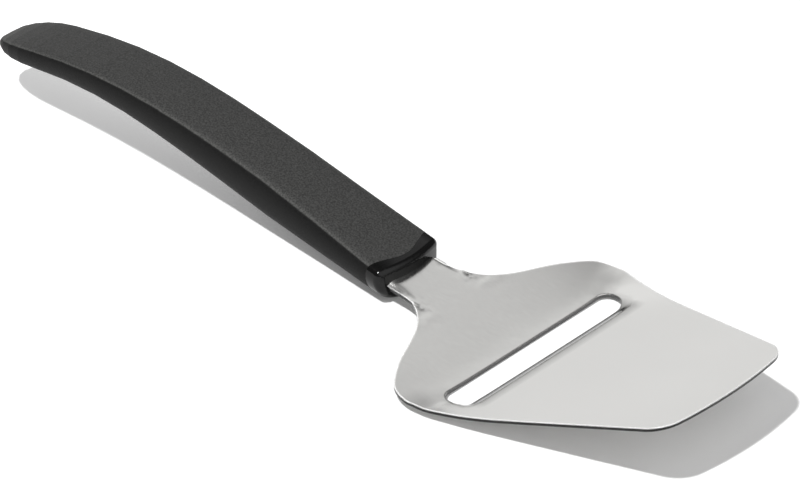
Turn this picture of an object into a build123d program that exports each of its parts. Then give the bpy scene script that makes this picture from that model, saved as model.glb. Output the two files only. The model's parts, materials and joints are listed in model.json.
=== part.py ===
from build123d import *
from math import cos, exp, pi, sin, sqrt
import os

# Cheese slicer: one stamped steel blade with a raised cutting slot, held in an arched handle
# made of a hard core and a soft grip.
# Lengths in mm. X runs along the slicer towards the blade's tip, Y runs across, Z is up.
# The origin is on the floor under the middle of the whole length.
# Places along the slicer are first measured forward from the back edge of the slot.

# Whole slicer
tip_reach = 61.2
end_reach = 163.3
edge_to_floor = 0.716
cut_overrun = 2.0
height_reach = 40.0

# Sheet of the blade
sheet_thick = 0.95
surface_tolerance = 0.003
back_rise = 0.35
back_slope_share = 0.141
front_drop = 0.55
front_slope_share = 0.29
bend_softness = 0.45

# Outline of the blade, each pair is a place forward of the slot and a half width
blade_half_width = 34.65
widest_back = 2.0
side_start = 4.0
side_start_share = 0.9958
side_taper_share = 0.2473
tip_arc_radius = 92.0
tip_corner_radius = 7.5
neck_back = 30.0
neck_half = 7.8
neck_spread_share = 0.03
shoulder_places = (-25.2, -20.7, -16.6, -13.3, -9.9, -5.5)
shoulder_shares = (0.248, 0.3386, 0.5249, 0.7348, 0.8909, 0.9925)

# Upturned margins beside the slot
margin_rise = 1.5
margin_place = 2.2
margin_back_length = 5.6
margin_front_length = 10.8
margin_power = 6
wing_rise = 0.94
wing_power = 2.5
wing_fade_start = -10.0
wing_fade_end = 5.0

# Rolled edges of the neck
roll_drop = 0.95
roll_width = 2.0
roll_limit_share = 1.4
roll_fade_start = -27.0
roll_fade_end = -20.0
roll_inner_start = -40.0
roll_inner_end = -36.0

# Cutting slot and lip
back_edge = 0.75
slot_half_length = 27.7
slot_width = 6.3
slot_corner_radius = 3.0
lip_drop = 1.7
lip_ramp = 4.0
lip_end_gap = -1.5
lip_end_ramp = 5.0
lip_start = 2.0
lip_full = 5.2
grind_length = 1.8
grind_edge_thick = 0.35
grind_end_gap = 2.4

# Rows and columns of the sheet's surface: where the runs meet, and how many are in each run
sheet_margin = 4.0
row_breaks = (-40.0, -18.0, 0, 12.0)
row_counts = (12, 11, 8, 15, 11)
column_shares = (0, 0.115, 0.26, 0.606, 0.837, 1.097)
column_counts = (2, 5, 5, 10, 4)

# Tang inside the handle
tang_half = 4.0
tang_taper_start = -34.5
tang_taper_end = -38.5
tang_end = -122.0
tang_blend_start = -38.0
tang_blend_end = -62.0
tang_hole_radius = 2.0
tang_hole_places = (-62.0, -104.0)

# Handle stations, from the front to the far end: place, half width, top and bottom
handle_places = (-30.0, -42.0, -53.0, -70.0, -87.0, -104.0, -121.0, -135.0, -147.0, -164.0)
handle_halves = (10.2, 9.9, 9.5, 9.1, 8.9, 8.8, 8.6, 8.3, 8.0, 7.6)
handle_tops = (7.6, 10.0, 12.4, 16.0, 18.7, 20.6, 21.0, 19.8, 17.8, 14.0)
handle_bottoms = (-1.62, -0.3, 0.7, 2.6, 5.9, 9.2, 11.5, 11.6, 10.3, 7.2)
section_places = (-30.0, -40.0, -55.0, -72.0, -86.0, -97.0, -107.0, -117.0, -127.0, -137.0)
shoulder_level_share = 0.34
top_power = 4.6
belly_power = 2.4
end_round_length = 16.0
end_shares = (0, 0.28, 0.52, 0.72, 0.87, 0.97)
end_power = 2.3
section_count = 10
core_end_radius = 3.0

# Collar at the front of the core and the grip's front edge
nose_front = -32.5
nose_radius = 32.0
nose_corner_radius = 2.4
nose_edge_radius = 1.5
nose_half = 10.2
side_clear = 14.0
rim_search = -36.0
grip_front = -34.3
grip_arm_share = 0.37
grip_front_radius = 9.0

# Core under the grip
grip_wall = 2.4
core_end_gap = 8.0
fit_gap = 0.02

# Shift from the back edge of the slot to the middle of the length
shift_forward = (end_reach - tip_reach) / 2
placed = Location((shift_forward, 0, edge_to_floor))


def smooth_step(place, start, end):
    # 0 before the start, 1 after the end, with level ends
    share = min(max((place - start) / (end - start), 0), 1)
    return share * share * (3 - 2 * share)


def interpolate(place, places, values):
    # smooth curve through the stations
    count = len(places)
    order = sorted(range(count), key=lambda i: places[i])
    xs = [places[i] for i in order]
    ys = [values[i] for i in order]
    if place <= xs[0]:
        return ys[0]
    if place >= xs[-1]:
        return ys[-1]
    slopes = []
    for i in range(count):
        low = max(i - 1, 0)
        high = min(i + 1, count - 1)
        slopes.append((ys[high] - ys[low]) / (xs[high] - xs[low]))
    for i in range(count - 1):
        if place <= xs[i + 1]:
            span = xs[i + 1] - xs[i]
            t = (place - xs[i]) / span
            a = (2 * t ** 3 - 3 * t ** 2 + 1) * ys[i]
            b = (t ** 3 - 2 * t ** 2 + t) * span * slopes[i]
            c = (-2 * t ** 3 + 3 * t ** 2) * ys[i + 1]
            d = (t ** 3 - t ** 2) * span * slopes[i + 1]
            return a + b + c + d
    return ys[-1]


def middle_height(x):
    # top of the sheet along the middle: back part falls forward, front part rises, soft bend between
    back = back_rise - back_slope_share * x
    front = front_slope_share * x - front_drop
    half_gap = (front - back) / 2
    return (front + back) / 2 + sqrt(half_gap ** 2 + bend_softness ** 2)


def tang_height(x):
    # inside the handle the sheet follows the handle's arch
    top = interpolate(x, handle_places, handle_tops)
    bottom = interpolate(x, handle_places, handle_bottoms)
    return (top + bottom + sheet_thick) / 2


def sheet_height(x, y):
    # top of the sheet: bend, turned-up margins, raised wings, rolled neck and pressed lip
    side = abs(y)
    into_handle = smooth_step(-x, -tang_blend_start, -tang_blend_end)
    height = middle_height(x) * (1 - into_handle)
    if into_handle > 0:
        height += tang_height(x) * into_handle
    share = side / blade_half_width
    margin_length = margin_front_length if x > margin_place else margin_back_length
    near_slot = exp(-((x - margin_place) / margin_length) ** 2)
    height += margin_rise * share ** margin_power * near_slot
    wing_fade = 1 - smooth_step(x, wing_fade_start, wing_fade_end)
    wing_end = smooth_step(x, roll_fade_start, roll_fade_end)
    height += wing_rise * share ** wing_power * wing_fade * wing_end
    roll = max(side - (neck_half - roll_width), 0) / roll_width
    roll_fade = 1 - smooth_step(x, roll_fade_start, roll_fade_end)
    roll_fade *= smooth_step(x, roll_inner_start, roll_inner_end)
    height -= roll_drop * min(roll, roll_limit_share) ** 2 * roll_fade
    lip_x = slot_width + back_edge
    across = smooth_step(x, lip_start, lip_full) * (1 - smooth_step(x, lip_x, lip_x + lip_ramp))
    lip_end = slot_half_length - lip_end_gap
    along = 1 - smooth_step(side, lip_end - lip_end_ramp, lip_end)
    height -= lip_drop * across * along
    return height


def run_values(ends, counts):
    # evenly spaced values in every run between two ends, and the last end
    values = []
    for start, end, count in zip(ends, ends[1:], counts):
        for i in range(count):
            values.append(start + (end - start) * i / count)
    values.append(ends[-1])
    return values


def sheet_face(lift):
    # one smooth surface over the whole blade, raised by the lift
    half = run_values([share * blade_half_width for share in column_shares], column_counts)
    across = [-v for v in reversed(half[1:])] + half
    rows = []
    ends = (tang_end - sheet_margin,) + row_breaks + (tip_reach + sheet_margin,)
    for x in run_values(ends, row_counts):
        rows.append([Vector(x, y, sheet_height(x, y) + lift) for y in across])
    return Face.make_surface_from_array_of_points(rows, tol=surface_tolerance)


def blade_outline():
    # the blade seen from above: one half of it, mirrored over the middle
    side_start_half = side_start_share * blade_half_width
    tip_half = side_start_half - side_taper_share * (tip_reach - side_start)
    tip_sag = tip_arc_radius - sqrt(tip_arc_radius ** 2 - tip_half ** 2)
    corner = (tip_reach - tip_sag, tip_half)
    points = [(-neck_back, neck_half)]
    points += [(x, share * blade_half_width) for x, share in zip(shoulder_places, shoulder_shares)]
    points += [(-widest_back, blade_half_width), (side_start, side_start_half)]
    with BuildSketch() as flat:
        with BuildLine():
            Spline(points, tangents=[(1, neck_spread_share), (1, -side_taper_share)])
            Line((side_start, side_start_half), corner)
            RadiusArc(corner, (tip_reach, 0), tip_arc_radius)
            Line((tip_reach, 0), (tang_end, 0))
            Line((tang_end, 0), (tang_end, tang_half))
            Line((tang_end, tang_half), (tang_taper_end, tang_half))
            Line((tang_taper_end, tang_half), (tang_taper_start, neck_half))
            Line((tang_taper_start, neck_half), (-neck_back, neck_half))
        make_face()
        mirror(about=Plane.XZ)
        tip_corners = flat.vertices().sort_by(Axis.X)[-3:]
        outer = [v for v in tip_corners if abs(v.Y) > tip_half / 2]
        fillet(outer, tip_corner_radius)
    return flat.sketch


def upright(sketch):
    # a flat shape carried through the whole height of the slicer
    return extrude(Pos(0, 0, -height_reach) * sketch, amount=2 * height_reach)


def lip_grind():
    # wedge ground off under the lip, which leaves its edge thin
    edge = back_edge + slot_width
    top = sheet_height(edge, 0) - grind_edge_thick
    low = sheet_height(edge, 0) - sheet_thick - cut_overrun
    slope = (sheet_thick - grind_edge_thick) / grind_length
    front = edge + (top - low) / slope
    start = edge - cut_overrun
    raised = top + cut_overrun * slope
    corners = [(start, raised), (front, low), (start, low)]
    profile = Plane.XZ * make_face(Polyline(*corners, close=True))
    half = slot_half_length - grind_end_gap
    return extrude(Pos(0, half, 0) * profile, amount=2 * half)


def blade():
    # stamped sheet: plate, slot, lip, neck and the tang hidden in the handle
    sheet = extrude(sheet_face(0), amount=sheet_thick, dir=(0, 0, -1))
    body = sheet & upright(blade_outline())
    slot_place = back_edge + slot_width / 2
    slot = Pos(slot_place, 0) * RectangleRounded(slot_width, 2 * slot_half_length, slot_corner_radius)
    body -= upright(slot)
    for place in tang_hole_places:
        body -= upright(Pos(place, 0) * Circle(tang_hole_radius))
    return body - lip_grind()


def half_section(half, top, bottom):
    # half of a flat-topped section with a round belly, from the middle of its top to that of its bottom
    level = top - shoulder_level_share * (top - bottom)
    points = [(0, top)]
    for i in range(section_count):
        angle = pi / 2 - pi * (i + 0.5) / section_count
        power = top_power if angle > 0 else belly_power
        height = top - level if angle > 0 else bottom - level
        y = half * cos(angle) ** (2 / power)
        z = height * abs(sin(angle)) ** (2 / power)
        points.append((y, level + z))
    return points + [(0, bottom)]


def section_shares():
    # one spacing of the points for all sections, so that the loft runs evenly
    points = half_section(handle_halves[0], handle_tops[0], handle_bottoms[0])
    shares = [0]
    for start, stop in zip(points, points[1:]):
        step = sqrt((stop[0] - start[0]) ** 2 + (stop[1] - start[1]) ** 2)
        shares.append(shares[-1] + step)
    return [share / shares[-1] for share in shares]


def handle_section(place, half, top, bottom):
    # closed curve across the handle, from one half and its mirror image
    shares = section_shares()
    points = half_section(half, top, bottom)
    right = [Vector(place, y, z) for y, z in points]
    left = [Vector(place, -y, z) for y, z in points]
    out = Vector(0, 1, 0)
    first = Edge.make_spline(right, tangents=[out, -out], parameters=shares)
    second = Edge.make_spline(left, tangents=[-out, out], parameters=shares)
    return Wire([first, second])


def handle_body():
    # short straight runs between the stations; the far end closes like the end of an egg
    round_start = end_round_length - end_reach
    stations = [place for place in section_places if place > round_start]
    stations += [round_start - share * end_round_length for share in end_shares]
    sections = []
    for place in stations:
        half = interpolate(place, handle_places, handle_halves)
        top = interpolate(place, handle_places, handle_tops)
        bottom = interpolate(place, handle_places, handle_bottoms)
        reach = max(round_start - place, 0) / end_round_length
        shrink = (1 - reach ** end_power) ** (1 / end_power)
        middle = (top + bottom) / 2
        deep = (top - bottom) / 2 * shrink
        sections.append(handle_section(place, half * shrink, middle + deep, middle - deep))
    end_top = interpolate(-end_reach, handle_places, handle_tops)
    end_bottom = interpolate(-end_reach, handle_places, handle_bottoms)
    tip_height = (end_top + end_bottom) / 2
    return Solid.make_loft(sections + [Vertex(-end_reach, 0, tip_height)], ruled=True)


def core_block(inset, end_gap):
    # plain bar inside the grip, between the handle's curves, with rounded corners at its far end
    back = end_gap - end_reach
    places = [place for place in handle_places if place > back]
    places.append(back)
    tops = [(x, interpolate(x, handle_places, handle_tops) - inset) for x in places]
    bottoms = [(x, interpolate(x, handle_places, handle_bottoms) + inset) for x in places]
    halves = [(x, interpolate(x, handle_places, handle_halves) - inset) for x in places]
    far_halves = [(x, -half) for x, half in halves]
    with BuildSketch(Plane.XZ) as side:
        with BuildLine():
            Spline(tops)
            Spline(bottoms)
            Line(tops[0], bottoms[0])
            Line(tops[-1], bottoms[-1])
        make_face()
    with BuildSketch() as flat:
        with BuildLine():
            Spline(halves)
            Spline(far_halves)
            Line(halves[0], far_halves[0])
            Line(halves[-1], far_halves[-1])
        make_face()
        fillet(flat.vertices().sort_by(Axis.X)[:2], core_end_radius)
    slab = extrude(Pos(0, side_clear, 0) * side.sketch, amount=2 * side_clear)
    return slab & upright(flat.sketch)


def nose_wall():
    # everything behind the collar's bowed front, with rounded corners
    back = -end_reach - cut_overrun
    sag = nose_radius - sqrt(nose_radius ** 2 - nose_half ** 2)
    with BuildSketch() as flat:
        with BuildLine():
            ThreePointArc((nose_front - sag, nose_half), (nose_front, 0), (nose_front - sag, -nose_half))
            Line((nose_front - sag, -nose_half), (back, -nose_half))
            Line((back, -nose_half), (back, nose_half))
            Line((back, nose_half), (nose_front - sag, nose_half))
        make_face()
        fillet(flat.vertices().sort_by(Axis.X)[-2:], nose_corner_radius)
    return upright(flat.sketch)


def grip_wall_front(front):
    # everything behind the grip's front edge, which comes to a blunt point over the neck
    back = -end_reach - cut_overrun
    sag = grip_arm_share * side_clear
    with BuildSketch() as flat:
        with BuildLine():
            Polyline((front - sag, side_clear), (front, 0), (front - sag, -side_clear))
            Line((front - sag, -side_clear), (back, -side_clear))
            Line((back, -side_clear), (back, side_clear))
            Line((back, side_clear), (front - sag, side_clear))
        make_face()
        fillet(flat.vertices().sort_by(Axis.X)[-1:], grip_front_radius)
    return upright(flat.sketch)


def under_floor():
    # everything under the floor, which leaves a small flat under the collar to rest on
    block = Box(2 * end_reach, 2 * side_clear, height_reach)
    return Pos(0, 0, -edge_to_floor - height_reach / 2) * block


def blade_space():
    # room for the neck and tang, a little larger than the sheet all round, with pins through its holes
    band = extrude(sheet_face(fit_gap), amount=sheet_thick + 2 * fit_gap, dir=(0, 0, -1))
    room = band & upright(offset(blade_outline(), fit_gap))
    for place in tang_hole_places:
        room -= upright(Pos(place, 0) * Circle(tang_hole_radius - fit_gap))
    return room


def handle_core():
    # hard core moulded round the tang, its collar stands out at the front
    outer = handle_body()
    collar = outer & nose_wall()
    rim = [e for e in collar.edges() if e.center().X > rim_search]
    collar = collar.fillet(nose_edge_radius, rim)
    collar -= grip_wall_front(grip_front + fit_gap) + under_floor()
    inner = core_block(grip_wall + fit_gap, core_end_gap)
    inner &= nose_wall()
    return collar + inner - blade_space()


def soft_grip():
    # soft sleeve moulded over the core, closed at the far end
    outer = handle_body()
    sleeve = outer & grip_wall_front(grip_front)
    sleeve -= Pos(0, 0, fit_gap) * under_floor()
    return sleeve - core_block(grip_wall, core_end_gap - fit_gap)


os.makedirs("parts", exist_ok=True)
export_step(placed * blade(), "parts/blade.step")
export_step(placed * handle_core(), "parts/handle_core.step")
export_step(placed * soft_grip(), "parts/soft_grip.step")
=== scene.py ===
import json
import math
import bpy
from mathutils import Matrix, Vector

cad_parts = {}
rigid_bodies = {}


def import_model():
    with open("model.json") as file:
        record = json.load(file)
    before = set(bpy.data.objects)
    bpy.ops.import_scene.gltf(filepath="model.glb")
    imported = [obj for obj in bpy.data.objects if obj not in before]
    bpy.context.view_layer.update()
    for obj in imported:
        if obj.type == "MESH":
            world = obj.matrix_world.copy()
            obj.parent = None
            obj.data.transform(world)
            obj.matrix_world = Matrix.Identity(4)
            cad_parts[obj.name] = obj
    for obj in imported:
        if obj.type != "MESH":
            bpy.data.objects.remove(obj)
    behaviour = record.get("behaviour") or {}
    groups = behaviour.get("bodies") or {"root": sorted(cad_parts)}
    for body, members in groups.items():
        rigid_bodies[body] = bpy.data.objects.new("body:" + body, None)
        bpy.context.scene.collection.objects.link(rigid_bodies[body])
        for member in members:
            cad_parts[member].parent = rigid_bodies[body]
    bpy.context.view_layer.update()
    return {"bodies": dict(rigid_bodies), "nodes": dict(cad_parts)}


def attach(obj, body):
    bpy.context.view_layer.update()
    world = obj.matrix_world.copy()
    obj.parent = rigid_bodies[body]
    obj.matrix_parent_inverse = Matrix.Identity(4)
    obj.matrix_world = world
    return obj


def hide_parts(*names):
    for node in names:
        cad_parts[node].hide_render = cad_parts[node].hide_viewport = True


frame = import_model()

# Blade: one stamped and pressed sheet of stainless steel, satin polished on both sides. It carries
# the cutting lip and runs on into the handle as the tang. The core is moulded round it.
packed_blade = frame["nodes"]["blade"]

# place, half width and slope of the rim at both ends of the stretch that is evened
rim_back = (0.0442, 0.0339, 0.5)
rim_front = (0.05505, 0.034504, -0.257)
rim_reach = 0.0335
upright_face = 0.25
same_place_digits = 7
slope_step = 0.0001

# the neck's rolled edges as they are packed, and where they run out
neck_roll_from = 0.0058
neck_roll_width = 0.002
neck_roll_limit = 1.4
neck_roll_drop = 0.00095
neck_roll_end = (0.02405, 0.03105)
neck_roll_eased = (0.018, 0.027)

steel_colour = (0.7, 0.695, 0.68, 1)
# wall colours: partly the duller, rougher cut edge and partly painted shade, darker than the edge
# itself; the slot's walls take the lighter one
slot_wall_dull_and_shade_colour = (0.085, 0.085, 0.085, 1)
rim_wall_dull_and_shade_colour = (0.028, 0.028, 0.028, 1)
# painted highlight: a near white, barely metallic colour laid on the rim's crest, standing in for the
# light that the rounded edge reflects
painted_crest_highlight_colour = (0.97, 0.97, 0.965, 1)
painted_crest_highlight_metal = 0.1
steel_roughness = 0.2
steel_brush_length = 0.012
steel_brush_width = 0.00022
steel_brush_patch = 0.004
steel_brush_change = 0.03
steel_brush_bump = 0.12
steel_brush_depth = 0.00002
steel_haze_grain = 0.0011
steel_haze_patch = 0.03
steel_haze_shade = 0.93
steel_haze_change = 0.02
steel_edge_round = 0.0006
steel_edge_polish = -0.1
wall_slope = (0.2, 0.3)
crest_slope = (0.2, 0.35)

slot_middle = 0.05495
slot_keep = 0.009
slot_half = 0.0295
# the lip band is painted shade: darker colour and a duller glance beyond the lip, standing in for the
# ramp's darker reflection
lip_band_from = 0.0585
lip_band_to = 0.0645
lip_band_shade = 0.6
lip_painted_glance = 0.52
lip_end_fade = 0.0026
lip_half = 0.0253

noise_roughness = 0.55
bevel_samples = 6
open_likeness = 0.995
worn_likeness = 0.9


def even_half_width(x):
    # one smooth curve between the two places, with the rim's own slope at both
    start, first, first_slope = rim_back
    end, last, last_slope = rim_front
    span = end - start
    t = (x - start) / span
    held = (2 * t ** 3 - 3 * t ** 2 + 1) * first + (3 * t ** 2 - 2 * t ** 3) * last
    return held + span * ((t ** 3 - 2 * t ** 2 + t) * first_slope + (t ** 3 - t ** 2) * last_slope)


def smooth_step(place, start, end):
    share = min(max((place - start) / (end - start), 0), 1)
    return share * share * (3 - 2 * share)


def neck_lift(x, y):
    # how far the rolled edge of the neck comes back up, so that it runs out before the shoulder
    share = min(max(abs(y) - neck_roll_from, 0) / neck_roll_width, neck_roll_limit)
    roll = neck_roll_drop * share ** 2 * (1 - smooth_step(x, *neck_roll_end))
    return roll * smooth_step(x, *neck_roll_eased)


def lifted_normal(normal, x, y):
    more_x = (neck_lift(x + slope_step, y) - neck_lift(x - slope_step, y)) / (2 * slope_step)
    more_y = (neck_lift(x, y + slope_step) - neck_lift(x, y - slope_step)) / (2 * slope_step)
    slope = Vector((normal.x / normal.z - more_x, normal.y / normal.z - more_y, 1))
    return slope.normalized() * math.copysign(1, normal.z)


def rim_normal(x, y):
    rise = even_half_width(x + slope_step) - even_half_width(x - slope_step)
    return Vector((-rise, math.copysign(2 * slope_step, y), 0)).normalized()


def same_place(point):
    return tuple(round(c, same_place_digits) for c in point)


def evened_sheet():
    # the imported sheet, with its rim as one even curve where the shoulder runs into the side, and
    # with the neck's roll run out earlier
    piece = packed_blade.copy()
    piece.data = packed_blade.data.copy()
    piece.name = "pressed_sheet"
    bpy.context.scene.collection.objects.link(piece)
    mesh = piece.data
    normals = [corner.vector.copy() for corner in mesh.corner_normals]
    upright = [face for face in mesh.polygons if abs(face.normal.z) < upright_face]
    rim = {same_place(mesh.vertices[index].co) for face in upright for index in face.vertices}
    moved = set()
    for point in mesh.vertices:
        x, y = point.co.x, point.co.y
        on_stretch = rim_back[0] < x < rim_front[0] and abs(y) > rim_reach
        if on_stretch and same_place(point.co) in rim:
            point.co.y = math.copysign(even_half_width(x), y)
            moved.add(point.index)
    for corner, normal in enumerate(normals):
        x, y = mesh.vertices[mesh.loops[corner].vertex_index].co.xy
        if neck_roll_eased[0] < x < neck_roll_end[1] and abs(normal.z) > upright_face:
            normals[corner] = lifted_normal(normal, x, y)
    for point in mesh.vertices:
        point.co.z += neck_lift(point.co.x, point.co.y)
    for face in upright:
        for corner in face.loop_indices:
            index = mesh.loops[corner].vertex_index
            if index in moved:
                normals[corner] = rim_normal(mesh.vertices[index].co.x, mesh.vertices[index].co.y)
    mesh.normals_split_custom_set(normals)
    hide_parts("blade")
    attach(piece, next(iter(frame["bodies"])))
    return piece


blade = evened_sheet()


def add(tree, kind, **settings):
    made = tree.nodes.new(kind)
    for name, value in settings.items():
        setattr(made, name, value)
    return made


def feed(tree, socket, value):
    # a number or a colour is set on the socket itself, anything else is linked to it
    if isinstance(value, (int, float, tuple)):
        socket.default_value = value
    else:
        tree.links.new(value, socket)


def make_grain_group():
    # fine grain and broad soft patches, in metres over the surface
    tree = bpy.data.node_groups.new("moulded_or_rubbed_grain", "ShaderNodeTree")
    for name, kind in (("Place", "NodeSocketVector"), ("Grain size", "NodeSocketFloat"),
                       ("Patch size", "NodeSocketFloat")):
        tree.interface.new_socket(name=name, in_out="INPUT", socket_type=kind)
    for name in ("Grain", "Patches"):
        tree.interface.new_socket(name=name, in_out="OUTPUT", socket_type="NodeSocketFloat")
    inner = add(tree, "NodeGroupInput")
    outer = add(tree, "NodeGroupOutput")
    for size, name, detail in (("Grain size", "Grain", 3), ("Patch size", "Patches", 2)):
        scale = add(tree, "ShaderNodeMath", operation="DIVIDE")
        scale.inputs[0].default_value = 1
        tree.links.new(inner.outputs[size], scale.inputs[1])
        noise = add(tree, "ShaderNodeTexNoise")
        noise.inputs["Detail"].default_value = detail
        noise.inputs["Roughness"].default_value = noise_roughness
        tree.links.new(inner.outputs["Place"], noise.inputs["Vector"])
        tree.links.new(scale.outputs[0], noise.inputs["Scale"])
        tree.links.new(noise.outputs["Fac"], outer.inputs[name])
    return tree


def make_edge_group():
    # 1 on the edges that hands and washing wear smooth, 0 on the open surface; the steel also uses it
    # to place its painted highlight
    tree = bpy.data.node_groups.new("worn_edges", "ShaderNodeTree")
    tree.interface.new_socket(name="Width", in_out="INPUT", socket_type="NodeSocketFloat")
    tree.interface.new_socket(name="Edge", in_out="OUTPUT", socket_type="NodeSocketFloat")
    inner = add(tree, "NodeGroupInput")
    outer = add(tree, "NodeGroupOutput")
    rounded = add(tree, "ShaderNodeBevel", samples=bevel_samples)
    flat = add(tree, "ShaderNodeNewGeometry")
    likeness = add(tree, "ShaderNodeVectorMath", operation="DOT_PRODUCT")
    mask = add(tree, "ShaderNodeMapRange")
    mask.inputs["From Min"].default_value = open_likeness
    mask.inputs["From Max"].default_value = worn_likeness
    tree.links.new(inner.outputs["Width"], rounded.inputs["Radius"])
    tree.links.new(rounded.outputs["Normal"], likeness.inputs[0])
    tree.links.new(flat.outputs["Normal"], likeness.inputs[1])
    tree.links.new(likeness.outputs["Value"], mask.inputs["Value"])
    tree.links.new(mask.outputs["Result"], outer.inputs["Edge"])
    return tree


grain_group = make_grain_group()
edge_group = make_edge_group()


def new_material(name):
    made = bpy.data.materials.new(name)
    made.use_nodes = True
    tree = made.node_tree
    return made, tree, tree.nodes["Principled BSDF"]


def grain_over(tree, place, grain_size, patch_size):
    made = add(tree, "ShaderNodeGroup", node_tree=grain_group)
    made.inputs["Grain size"].default_value = grain_size
    made.inputs["Patch size"].default_value = patch_size
    tree.links.new(place, made.inputs["Place"])
    return made.outputs["Grain"], made.outputs["Patches"]


def worn_edge(tree, width):
    made = add(tree, "ShaderNodeGroup", node_tree=edge_group)
    made.inputs["Width"].default_value = width
    return made.outputs["Edge"]


def spread(tree, source, low, high, low_in=0.25, high_in=0.75):
    made = add(tree, "ShaderNodeMapRange")
    made.inputs["From Min"].default_value = low_in
    made.inputs["From Max"].default_value = high_in
    made.inputs["To Min"].default_value = low
    made.inputs["To Max"].default_value = high
    tree.links.new(source, made.inputs["Value"])
    return made.outputs["Result"]


def around(tree, source, middle, change):
    return spread(tree, source, middle - change, middle + change)


def mix_colours(tree, share, first, second):
    made = add(tree, "ShaderNodeMix", data_type="RGBA")
    tree.links.new(share, made.inputs[0])
    feed(tree, made.inputs[6], first)
    feed(tree, made.inputs[7], second)
    return made.outputs[2]


def math_of(tree, operation, *values):
    made = add(tree, "ShaderNodeMath", operation=operation)
    for socket, value in zip(made.inputs, values):
        feed(tree, socket, value)
    return made.outputs[0]


def scaled(tree, colour, share):
    made = add(tree, "ShaderNodeVectorMath", operation="SCALE")
    tree.links.new(colour, made.inputs[0])
    tree.links.new(share, made.inputs["Scale"])
    return made.outputs[0]


def parts_of(tree, vector):
    made = add(tree, "ShaderNodeSeparateXYZ")
    tree.links.new(vector, made.inputs[0])
    return made.outputs


def bumped(tree, height, strength, depth):
    made = add(tree, "ShaderNodeBump")
    made.inputs["Strength"].default_value = strength
    made.inputs["Distance"].default_value = depth
    tree.links.new(height, made.inputs["Height"])
    return made


def satin_steel():
    made, tree, shader = new_material("satin_stainless_steel")
    place = add(tree, "ShaderNodeTexCoord").outputs["Object"]
    stretch = add(tree, "ShaderNodeMapping")
    stretch.inputs["Scale"].default_value = (steel_brush_width / steel_brush_length, 1, 1)
    tree.links.new(place, stretch.inputs["Vector"])
    brushed = grain_over(tree, stretch.outputs["Vector"], steel_brush_width, steel_brush_patch)[0]
    haze = grain_over(tree, place, steel_haze_grain, steel_haze_patch)[1]
    edge = worn_edge(tree, steel_edge_round)
    rounded = add(tree, "ShaderNodeBevel", samples=bevel_samples)
    rounded.inputs["Radius"].default_value = steel_edge_round
    # the cut walls of the sheet, painted dark: partly the duller cut edge, partly painted shade; and
    # the crest above them, where the rim gets a painted highlight
    facing = add(tree, "ShaderNodeNewGeometry")
    upright = parts_of(tree, facing.outputs["True Normal"])["Z"]
    upward = parts_of(tree, rounded.outputs["Normal"])["Z"]
    wall = spread(tree, math_of(tree, "ABSOLUTE", upright), 1, 0, *wall_slope)
    dull_and_shaded_wall = math_of(tree, "MULTIPLY", wall, spread(tree, upward, 1, 0, *crest_slope))
    crest = math_of(tree, "MULTIPLY", edge, spread(tree, upward, 0, 1, *crest_slope))
    # the slot's walls take the lighter wall colour, and its crest gets no painted highlight
    where = parts_of(tree, place)
    along = math_of(tree, "ABSOLUTE", math_of(tree, "SUBTRACT", where["X"], slot_middle))
    across = math_of(tree, "ABSOLUTE", where["Y"])
    off_slot = math_of(tree, "MAXIMUM", math_of(tree, "GREATER_THAN", along, slot_keep),
                       math_of(tree, "GREATER_THAN", across, slot_half))
    painted_crest_highlight = math_of(tree, "MULTIPLY", crest, off_slot)
    # painted shade: a band along the cutting lip painted darker and given a duller glance, for the
    # darker reflection of the lip's ramp
    beyond = spread(tree, where["X"], 1, 0, lip_band_from, lip_band_to)
    beside = spread(tree, across, lip_band_shade, 0, lip_half, lip_half + lip_end_fade)
    before_slot = math_of(tree, "GREATER_THAN", where["X"], slot_middle)
    on_lip = math_of(tree, "MULTIPLY", beside, before_slot)
    shade = math_of(tree, "SUBTRACT", 1, math_of(tree, "MULTIPLY", beyond, on_lip))
    painted_dull_glance = spread(tree, shade, lip_painted_glance, 1, 1 - lip_band_shade, 1)
    tree.links.new(painted_dull_glance, shader.inputs["Specular Tint"])
    darker = tuple(steel_haze_shade * c for c in steel_colour[:3]) + (1,)
    steel_tone_and_painted_lip_shade = scaled(tree, mix_colours(tree, haze, darker, steel_colour), shade)
    wall_dull_and_shade_colour = mix_colours(tree, off_slot, slot_wall_dull_and_shade_colour, rim_wall_dull_and_shade_colour)
    sheet = mix_colours(tree, dull_and_shaded_wall, steel_tone_and_painted_lip_shade, wall_dull_and_shade_colour)
    whole = mix_colours(tree, painted_crest_highlight, sheet, painted_crest_highlight_colour)
    tree.links.new(whole, shader.inputs["Base Color"])
    tree.links.new(spread(tree, painted_crest_highlight, 1, painted_crest_highlight_metal, 0, 1), shader.inputs["Metallic"])
    rough = math_of(tree, "ADD", around(tree, brushed, steel_roughness, steel_brush_change),
                    around(tree, haze, 0, steel_haze_change))
    smooth = math_of(tree, "MULTIPLY_ADD", edge, steel_edge_polish, rough)
    tree.links.new(smooth, shader.inputs["Roughness"])
    bump = bumped(tree, brushed, steel_brush_bump, steel_brush_depth)
    tree.links.new(rounded.outputs["Normal"], bump.inputs["Normal"])
    tree.links.new(bump.outputs["Normal"], shader.inputs["Normal"])
    return made


def finish_node(piece, material):
    piece.data.materials.clear()
    piece.data.materials.append(material)


finish_node(blade, satin_steel())

# Handle core: hard glossy black plastic, injection moulded round the tang. Only its collar shows,
# in front of the soft grip.
core = frame["nodes"]["handle_core"]
core_colour = (0.004, 0.004, 0.004, 1)
core_edge_lighter = 1.6
core_edge_width = 0.0004
core_shine = 0.25
core_smoothest = 0.09
core_roughest = 0.17
core_flow_grain = 0.0009
core_flow_patch = 0.006
core_flow_bump = 0.15
core_flow_depth = 0.00006
plastic_refraction = 1.5


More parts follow.
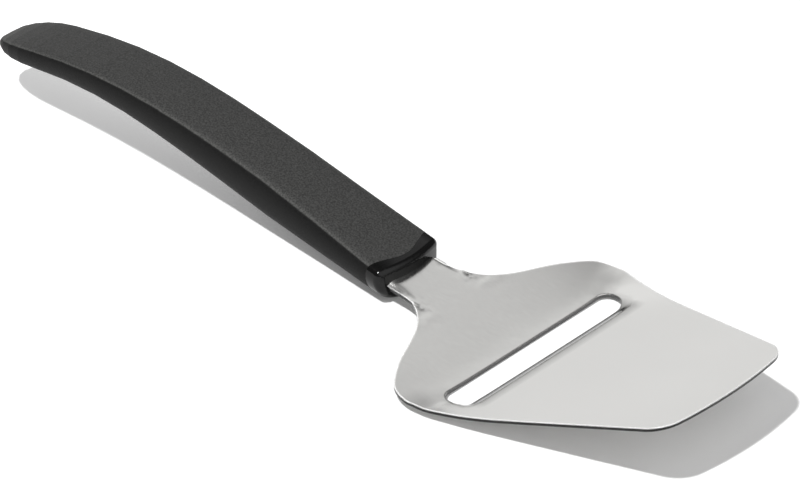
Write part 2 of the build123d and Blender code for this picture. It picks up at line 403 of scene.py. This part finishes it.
def glossy_plastic():
    made, tree, shader = new_material("glossy_black_plastic")
    shader.inputs["IOR"].default_value = plastic_refraction
    shader.inputs["Specular IOR Level"].default_value = core_shine
    place = add(tree, "ShaderNodeTexCoord").outputs["Object"]
    flow = grain_over(tree, place, core_flow_grain, core_flow_patch)[1]
    edge = worn_edge(tree, core_edge_width)
    lighter = tuple(core_edge_lighter * c for c in core_colour[:3]) + (1,)
    tree.links.new(mix_colours(tree, edge, core_colour, lighter), shader.inputs["Base Color"])
    tree.links.new(spread(tree, flow, core_smoothest, core_roughest), shader.inputs["Roughness"])
    bump = bumped(tree, flow, core_flow_bump, core_flow_depth)
    tree.links.new(bump.outputs["Normal"], shader.inputs["Normal"])
    return made


finish_node(core, glossy_plastic())

# Soft grip: a matt black sleeve of soft plastic, moulded over the core and closed at the far end.
# Its mould is finely grained.
grip = frame["nodes"]["soft_grip"]
# painted light and shade: the top is coloured lighter as if lit, the rounded rim lighter still as a
# painted sheen, and the sides darker as if in shade
grip_top_painted_light_colour = (0.033, 0.033, 0.0322, 1)
grip_rim_painted_sheen_colour = (0.055, 0.055, 0.053, 1)
grip_side_painted_shade_colour = (0.005, 0.005, 0.0049, 1)
grip_rim_slope = (0.68, 0.82)
grip_top_slope = (0.84, 0.95)
grip_edge_width = 0.0006
grip_edge_polish = -0.08
grip_shine = 0.15
grip_roughness = 0.65
grip_grain_size = 0.0004
grip_grain_patch = 0.009
grip_grain_change = 0.06
grip_grain_bump = 0.7
grip_grain_depth = 0.00008
grip_speckle = (0.6, 1.4)
grip_speckle_grain = (0.35, 0.65)


def soft_matt_plastic():
    made, tree, shader = new_material("soft_matt_black")
    shader.inputs["IOR"].default_value = plastic_refraction
    shader.inputs["Specular IOR Level"].default_value = grip_shine
    place = add(tree, "ShaderNodeTexCoord").outputs["Object"]
    grain = grain_over(tree, place, grip_grain_size, grip_grain_patch)[0]
    edge = worn_edge(tree, grip_edge_width)
    # painted light and shade by how far the surface faces up: darker sides, a lighter sheen on the rim,
    # a lighter top
    upward = parts_of(tree, add(tree, "ShaderNodeNewGeometry").outputs["Normal"])["Z"]
    rim = spread(tree, upward, 0, 1, *grip_rim_slope)
    top = spread(tree, upward, 0, 1, *grip_top_slope)
    side_shade_and_rim_sheen = mix_colours(tree, rim, grip_side_painted_shade_colour, grip_rim_painted_sheen_colour)
    painted_light_and_shade = mix_colours(tree, top, side_shade_and_rim_sheen, grip_top_painted_light_colour)
    speckle = spread(tree, grain, *grip_speckle, *grip_speckle_grain)
    tree.links.new(scaled(tree, painted_light_and_shade, speckle), shader.inputs["Base Color"])
    rough = math_of(tree, "MULTIPLY_ADD", edge, grip_edge_polish,
                    around(tree, grain, grip_roughness, grip_grain_change))
    tree.links.new(rough, shader.inputs["Roughness"])
    bump = bumped(tree, grain, grip_grain_bump, grip_grain_depth)
    tree.links.new(bump.outputs["Normal"], shader.inputs["Normal"])
    return made


finish_node(grip, soft_matt_plastic())

# Floor: the white table that the slicer lies on. It gives off a little light of its own, more of it
# towards the handle, which lifts the slicer's shadow.
floor_half = 6.0
floor_drop = 0.00002
floor_colour = (0.8, 0.8, 0.8, 1)
floor_lift_back = 0.34
floor_lift_front = 0.04
floor_lift_from = -0.09
floor_lift_to = 0.05


def white_table():
    made, tree, shader = new_material("white_table")
    tree.nodes.remove(shader)
    matt = add(tree, "ShaderNodeBsdfDiffuse")
    matt.inputs["Color"].default_value = floor_colour
    glow = add(tree, "ShaderNodeEmission")
    ray = add(tree, "ShaderNodeLightPath").outputs
    direct = math_of(tree, "MAXIMUM", ray["Is Camera Ray"], ray["Is Glossy Ray"])
    seen = math_of(tree, "MAXIMUM", direct, ray["Is Transmission Ray"])
    where = parts_of(tree, add(tree, "ShaderNodeTexCoord").outputs["Object"])
    lift = spread(tree, where["X"], floor_lift_back, floor_lift_front, floor_lift_from, floor_lift_to)
    tree.links.new(math_of(tree, "MULTIPLY", seen, lift), glow.inputs["Strength"])
    both = add(tree, "ShaderNodeAddShader")
    tree.links.new(matt.outputs[0], both.inputs[0])
    tree.links.new(glow.outputs[0], both.inputs[1])
    tree.links.new(both.outputs[0], tree.nodes["Material Output"].inputs["Surface"])
    return made


floor_mesh = bpy.data.meshes.new("table_top")
floor_mesh.from_pydata([(-floor_half, -floor_half, -floor_drop), (floor_half, -floor_half, -floor_drop),
                        (floor_half, floor_half, -floor_drop), (-floor_half, floor_half, -floor_drop)],
                       [], [(0, 1, 2, 3)])
floor = bpy.data.objects.new("table_top", floor_mesh)
bpy.context.scene.collection.objects.link(floor)
floor_mesh.materials.append(white_table())

# Light: a bright wall low beyond the handle, a softer one on the tip's side, two dark cards, the
# rest of the room dim, and one lamp high on the camera's side that throws the shadow.
room_level = 0.11
darkest_level = 0.06
# each has its direction, the cosines where it starts and is full, and its level
walls = (
    ((-0.75, 0.42, 0.51), 0.72, 0.93, 0.85),
    ((0.75, -0.1, 0.65), 0.60, 0.95, 1.2),
    ((-0.76, 0.494, 0.455), 0.965, 0.992, 0.12),
    ((-0.30, 0.36, 0.88), 0.955, 0.99, -0.42),
    ((-0.36, 0.87, 0.33), 0.93, 0.98, -0.38),
)
lamp_direction = (0.043, 0.415, -1)
lamp_strength = 3.3
lamp_spread = math.radians(3)


def wall_glow(tree, direction, edge_share, full_share, level):
    # the level inside a round patch of the room in that direction, 0 outside it
    place = add(tree, "ShaderNodeTexCoord")
    toward = add(tree, "ShaderNodeVectorMath", operation="DOT_PRODUCT")
    toward.inputs[1].default_value = Vector(direction).normalized()
    tree.links.new(place.outputs["Generated"], toward.inputs[0])
    shade = add(tree, "ShaderNodeMapRange", interpolation_type="SMOOTHSTEP")
    shade.inputs["From Min"].default_value = edge_share
    shade.inputs["From Max"].default_value = full_share
    shade.inputs["To Min"].default_value = 0
    shade.inputs["To Max"].default_value = level
    tree.links.new(toward.outputs["Value"], shade.inputs["Value"])
    return shade.outputs["Result"]


world = bpy.data.worlds.new("studio")
bpy.context.scene.world = world
world.use_nodes = True
room = world.node_tree
brightness = room_level
for wall in walls:
    brightness = math_of(room, "ADD", brightness, wall_glow(room, *wall))
background = room.nodes["Background"]
background.inputs["Color"].default_value = (1, 1, 1, 1)
room.links.new(math_of(room, "MAXIMUM", brightness, darkest_level), background.inputs["Strength"])

lamp = bpy.data.lights.new("high_lamp", "SUN")
lamp.energy = lamp_strength
lamp.angle = lamp_spread
lamp_object = bpy.data.objects.new("high_lamp", lamp)
bpy.context.scene.collection.objects.link(lamp_object)
lamp_object.rotation_mode = "QUATERNION"
lamp_object.rotation_quaternion = Vector(lamp_direction).to_track_quat("-Z", "Y")

# Camera: a long lens from the tip's side of the blade, a little over 34 degrees above the table.
camera_place = (0.83625, -0.8872, 0.83692)
camera_down = math.radians(34.4)
camera_turn = math.radians(42.816)
camera_lens = 292.5
camera_sensor = 36
camera_nearest = 0.1
camera_farthest = 20

camera_data = bpy.data.cameras.new("camera")
camera_data.lens = camera_lens
camera_data.sensor_width = camera_sensor
camera_data.clip_start = camera_nearest
camera_data.clip_end = camera_farthest
camera = bpy.data.objects.new("camera", camera_data)
camera.location = camera_place
camera.rotation_euler = (math.pi / 2 - camera_down, 0, camera_turn)
bpy.context.scene.collection.objects.link(camera)
bpy.context.scene.camera = camera
bpy.context.scene.view_settings.view_transform = "Standard"

bpy.context.view_layer.update()
